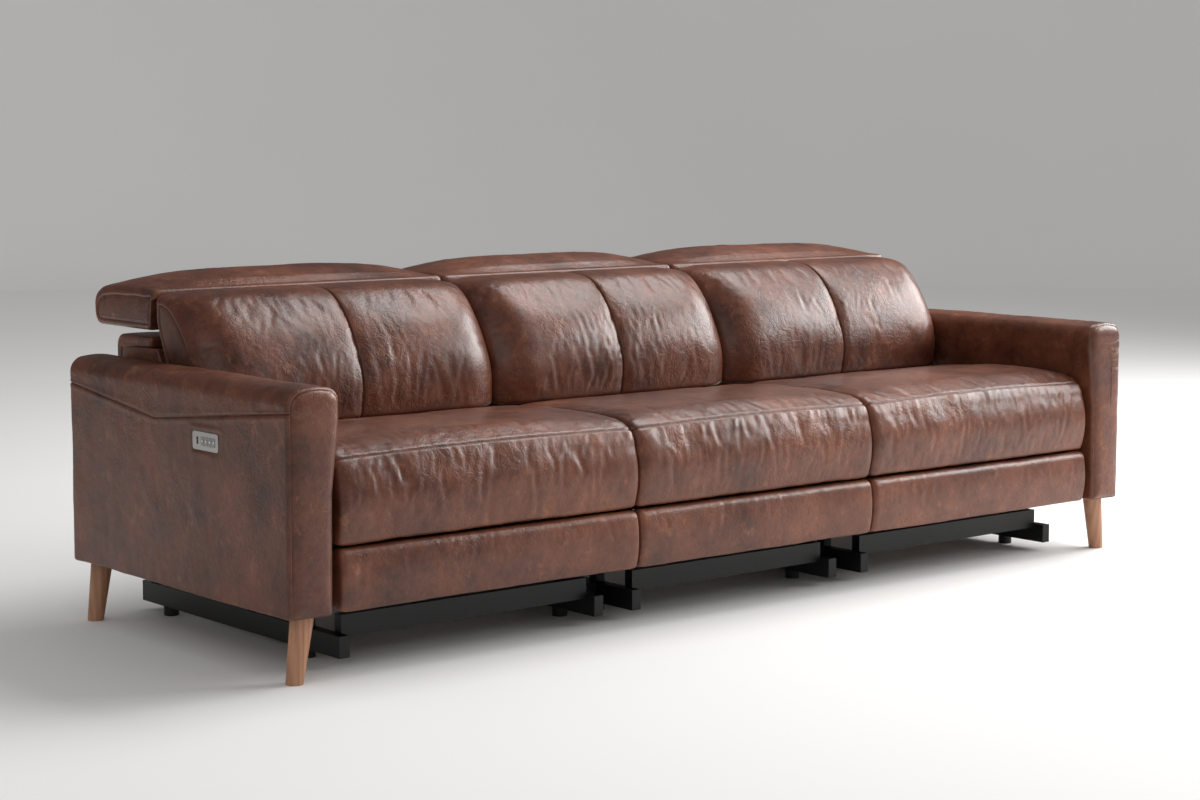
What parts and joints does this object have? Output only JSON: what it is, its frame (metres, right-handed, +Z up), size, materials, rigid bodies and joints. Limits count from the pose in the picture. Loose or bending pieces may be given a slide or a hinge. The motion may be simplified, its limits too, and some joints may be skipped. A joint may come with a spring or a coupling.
{
  "type": "reclining sofa",
  "caption": "Leather sofa on splayed wooden legs; each seat slides and reclines, with a folding footrest, a tilting headrest and push-button controls on the arms.",
  "frame": {"origin": "on the floor, under the middle of the whole sofa's box", "axes": "+X along the sofa, to the right of someone who looks at its front; the front faces -Y; +Z up"},
  "size_m": [2.5532, 1.0258, 0.7827],
  "materials": {
    "leather": "satin",
    "plywood": "matte",
    "leg_wood": "satin",
    "frame_steel": "satin",
    "rod_steel": "satin",
    "plate_metal": "satin",
    "button_metal": "satin",
    "port_plastic": "matte",
    "foot_plastic": "matte",
    "drive_plastic": "satin",
    "webbing": "matte"
  },
  "bodies": {
    "base": {"arm_cover_left": "leather", "arm_cover_right": "leather", "arm_frames": "plywood", "control_plates": "plate_metal", "usb_ports": "port_plastic", "legs": "leg_wood", "floor_frames": "frame_steel", "feet": "foot_plastic", "slide_tracks": "frame_steel", "drive_housings": "drive_plastic"},
    "seat_left": {"seat_frame_left": "plywood", "seat_webbing_left": "webbing", "seat_cushion_left": "leather", "seat_runners_left": "frame_steel", "drive_rod_left": "rod_steel"},
    "back_left": {"back_frame_left": "frame_steel", "back_cushion_left": "leather", "back_shell_left": "leather"},
    "headrest_left": {"headrest_pad_left": "leather", "headrest_bracket_left": "frame_steel"},
    "rear_link_left": {"rear_links_left": "frame_steel"},
    "front_link_left": {"front_links_left": "frame_steel"},
    "footrest_left": {"footrest_pad_left": "leather", "footrest_plate_left": "frame_steel"},
    "seat_middle": {"seat_frame_middle": "plywood", "seat_webbing_middle": "webbing", "seat_cushion_middle": "leather", "seat_runners_middle": "frame_steel", "drive_rod_middle": "rod_steel"},
    "back_middle": {"back_frame_middle": "frame_steel", "back_cushion_middle": "leather", "back_shell_middle": "leather"},
    "headrest_middle": {"headrest_pad_middle": "leather", "headrest_bracket_middle": "frame_steel"},
    "rear_link_middle": {"rear_links_middle": "frame_steel"},
    "front_link_middle": {"front_links_middle": "frame_steel"},
    "footrest_middle": {"footrest_pad_middle": "leather", "footrest_plate_middle": "frame_steel"},
    "seat_right": {"seat_frame_right": "plywood", "seat_webbing_right": "webbing", "seat_cushion_right": "leather", "seat_runners_right": "frame_steel", "drive_rod_right": "rod_steel"},
    "back_right": {"back_frame_right": "frame_steel", "back_cushion_right": "leather", "back_shell_right": "leather"},
    "headrest_right": {"headrest_pad_right": "leather", "headrest_bracket_right": "frame_steel"},
    "rear_link_right": {"rear_links_right": "frame_steel"},
    "front_link_right": {"front_links_right": "frame_steel"},
    "footrest_right": {"footrest_pad_right": "leather", "footrest_plate_right": "frame_steel"},
    "button_left_1": {"button_left_1": "button_metal"},
    "button_left_2": {"button_left_2": "button_metal"},
    "button_left_3": {"button_left_3": "button_metal"},
    "button_left_4": {"button_left_4": "button_metal"},
    "button_right_1": {"button_right_1": "button_metal"},
    "button_right_2": {"button_right_2": "button_metal"},
    "button_right_3": {"button_right_3": "button_metal"},
    "button_right_4": {"button_right_4": "button_metal"}
  },
  "joints": [
    {"name": "seat_slide_left", "type": "slide", "parent": "base", "child": "seat_left", "axis": [0, -1, 0], "range_m": [0, 0.09]},
    {"name": "recline_left", "type": "hinge", "parent": "seat_left", "child": "back_left", "pos_m": [-0.7595, 0.096, 0.36], "axis": [-1, 0, 0], "range_deg": [0, 30]},
    {"name": "headrest_tilt_left", "type": "hinge", "parent": "back_left", "child": "headrest_left", "pos_m": [-0.7595, 0.242, 0.737], "axis": [1, 0, 0], "range_deg": [0, 75]},
    {"name": "footrest_lift_left", "type": "hinge", "parent": "seat_left", "child": "rear_link_left", "pos_m": [-0.7595, -0.404, 0.245], "axis": [-1, 0, 0], "range_deg": [0, 132]},
    {"name": "front_link_turn_left", "type": "hinge", "parent": "rear_link_left", "child": "front_link_left", "pos_m": [-0.7595, -0.26258, 0.10358], "axis": [1, 0, 0], "range_deg": [0, 138]},
    {"name": "footrest_turn_left", "type": "hinge", "parent": "front_link_left", "child": "footrest_left", "pos_m": [-0.7595, -0.434, 0.238], "axis": [-1, 0, 0], "range_deg": [0, 96]},
    {"name": "seat_slide_middle", "type": "slide", "parent": "base", "child": "seat_middle", "axis": [0, -1, 0], "range_m": [0, 0.09]},
    {"name": "recline_middle", "type": "hinge", "parent": "seat_middle", "child": "back_middle", "pos_m": [0, 0.096, 0.36], "axis": [-1, 0, 0], "range_deg": [0, 30]},
    {"name": "headrest_tilt_middle", "type": "hinge", "parent": "back_middle", "child": "headrest_middle", "pos_m": [0, 0.242, 0.737], "axis": [1, 0, 0], "range_deg": [0, 75]},
    {"name": "footrest_lift_middle", "type": "hinge", "parent": "seat_middle", "child": "rear_link_middle", "pos_m": [0, -0.404, 0.245], "axis": [-1, 0, 0], "range_deg": [0, 132]},
    {"name": "front_link_turn_middle", "type": "hinge", "parent": "rear_link_middle", "child": "front_link_middle", "pos_m": [0, -0.26258, 0.10358], "axis": [1, 0, 0], "range_deg": [0, 138]},
    {"name": "footrest_turn_middle", "type": "hinge", "parent": "front_link_middle", "child": "footrest_middle", "pos_m": [0, -0.434, 0.238], "axis": [-1, 0, 0], "range_deg": [0, 96]},
    {"name": "seat_slide_right", "type": "slide", "parent": "base", "child": "seat_right", "axis": [0, -1, 0], "range_m": [0, 0.09]},
    {"name": "recline_right", "type": "hinge", "parent": "seat_right", "child": "back_right", "pos_m": [0.7595, 0.096, 0.36], "axis": [-1, 0, 0], "range_deg": [0, 30]},
    {"name": "headrest_tilt_right", "type": "hinge", "parent": "back_right", "child": "headrest_right", "pos_m": [0.7595, 0.242, 0.737], "axis": [1, 0, 0], "range_deg": [0, 75]},
    {"name": "footrest_lift_right", "type": "hinge", "parent": "seat_right", "child": "rear_link_right", "pos_m": [0.7595, -0.404, 0.245], "axis": [-1, 0, 0], "range_deg": [0, 132]},
    {"name": "front_link_turn_right", "type": "hinge", "parent": "rear_link_right", "child": "front_link_right", "pos_m": [0.7595, -0.26258, 0.10358], "axis": [1, 0, 0], "range_deg": [0, 138]},
    {"name": "footrest_turn_right", "type": "hinge", "parent": "front_link_right", "child": "footrest_right", "pos_m": [0.7595, -0.434, 0.238], "axis": [-1, 0, 0], "range_deg": [0, 96]},
    {"name": "press_button_left_1", "type": "slide", "parent": "base", "child": "button_left_1", "axis": [1, 0, 0], "range_m": [0, 0.0012], "stiffness_N_per_m": 900, "springref_m": -0.0012},
    {"name": "press_button_left_2", "type": "slide", "parent": "base", "child": "button_left_2", "axis": [1, 0, 0], "range_m": [0, 0.0012], "stiffness_N_per_m": 900, "springref_m": -0.0012},
    {"name": "press_button_left_3", "type": "slide", "parent": "base", "child": "button_left_3", "axis": [1, 0, 0], "range_m": [0, 0.0012], "stiffness_N_per_m": 900, "springref_m": -0.0012},
    {"name": "press_button_left_4", "type": "slide", "parent": "base", "child": "button_left_4", "axis": [1, 0, 0], "range_m": [0, 0.0012], "stiffness_N_per_m": 900, "springref_m": -0.0012},
    {"name": "press_button_right_1", "type": "slide", "parent": "base", "child": "button_right_1", "axis": [-1, 0, 0], "range_m": [0, 0.0012], "stiffness_N_per_m": 900, "springref_m": -0.0012},
    {"name": "press_button_right_2", "type": "slide", "parent": "base", "child": "button_right_2", "axis": [-1, 0, 0], "range_m": [0, 0.0012], "stiffness_N_per_m": 900, "springref_m": -0.0012},
    {"name": "press_button_right_3", "type": "slide", "parent": "base", "child": "button_right_3", "axis": [-1, 0, 0], "range_m": [0, 0.0012], "stiffness_N_per_m": 900, "springref_m": -0.0012},
    {"name": "press_button_right_4", "type": "slide", "parent": "base", "child": "button_right_4", "axis": [-1, 0, 0], "range_m": [0, 0.0012], "stiffness_N_per_m": 900, "springref_m": -0.0012}
  ],
  "couplings": [
    {"joint": "recline_left", "follows": "seat_slide_left", "rad_per_m": 5.8178},
    {"joint": "front_link_turn_left", "follows": "footrest_lift_left", "ratio": 1.0455},
    {"joint": "footrest_turn_left", "follows": "footrest_lift_left", "ratio": 0.72727},
    {"joint": "recline_middle", "follows": "seat_slide_middle", "rad_per_m": 5.8178},
    {"joint": "front_link_turn_middle", "follows": "footrest_lift_middle", "ratio": 1.0455},
    {"joint": "footrest_turn_middle", "follows": "footrest_lift_middle", "ratio": 0.72727},
    {"joint": "recline_right", "follows": "seat_slide_right", "rad_per_m": 5.8178},
    {"joint": "front_link_turn_right", "follows": "footrest_lift_right", "ratio": 1.0455},
    {"joint": "footrest_turn_right", "follows": "footrest_lift_right", "ratio": 0.72727}
  ]
}
